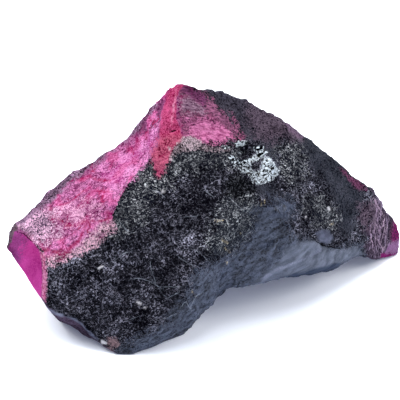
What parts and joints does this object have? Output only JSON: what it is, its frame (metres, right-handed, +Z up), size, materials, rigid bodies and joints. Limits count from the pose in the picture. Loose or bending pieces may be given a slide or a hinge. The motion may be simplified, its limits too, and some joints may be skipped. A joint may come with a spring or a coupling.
{
  "type": "rough gemstone",
  "caption": "Rough pink sapphire: a broken lump of corundum in a dark rind, lying on a flat sole with one thin tip.",
  "frame": {"origin": "under the middle of the stone's bounding box, in the plane of its sole", "axes": "+X along the stone towards its thin tip, -Y towards its dark front, +Z up"},
  "size_m": [0.0452, 0.0248, 0.0252],
  "materials": {
    "sapphire": "rough, near-black rind with pink windows"
  },
  "bodies": {
    "root": {"sapphire": "sapphire"}
  },
  "joints": []
}
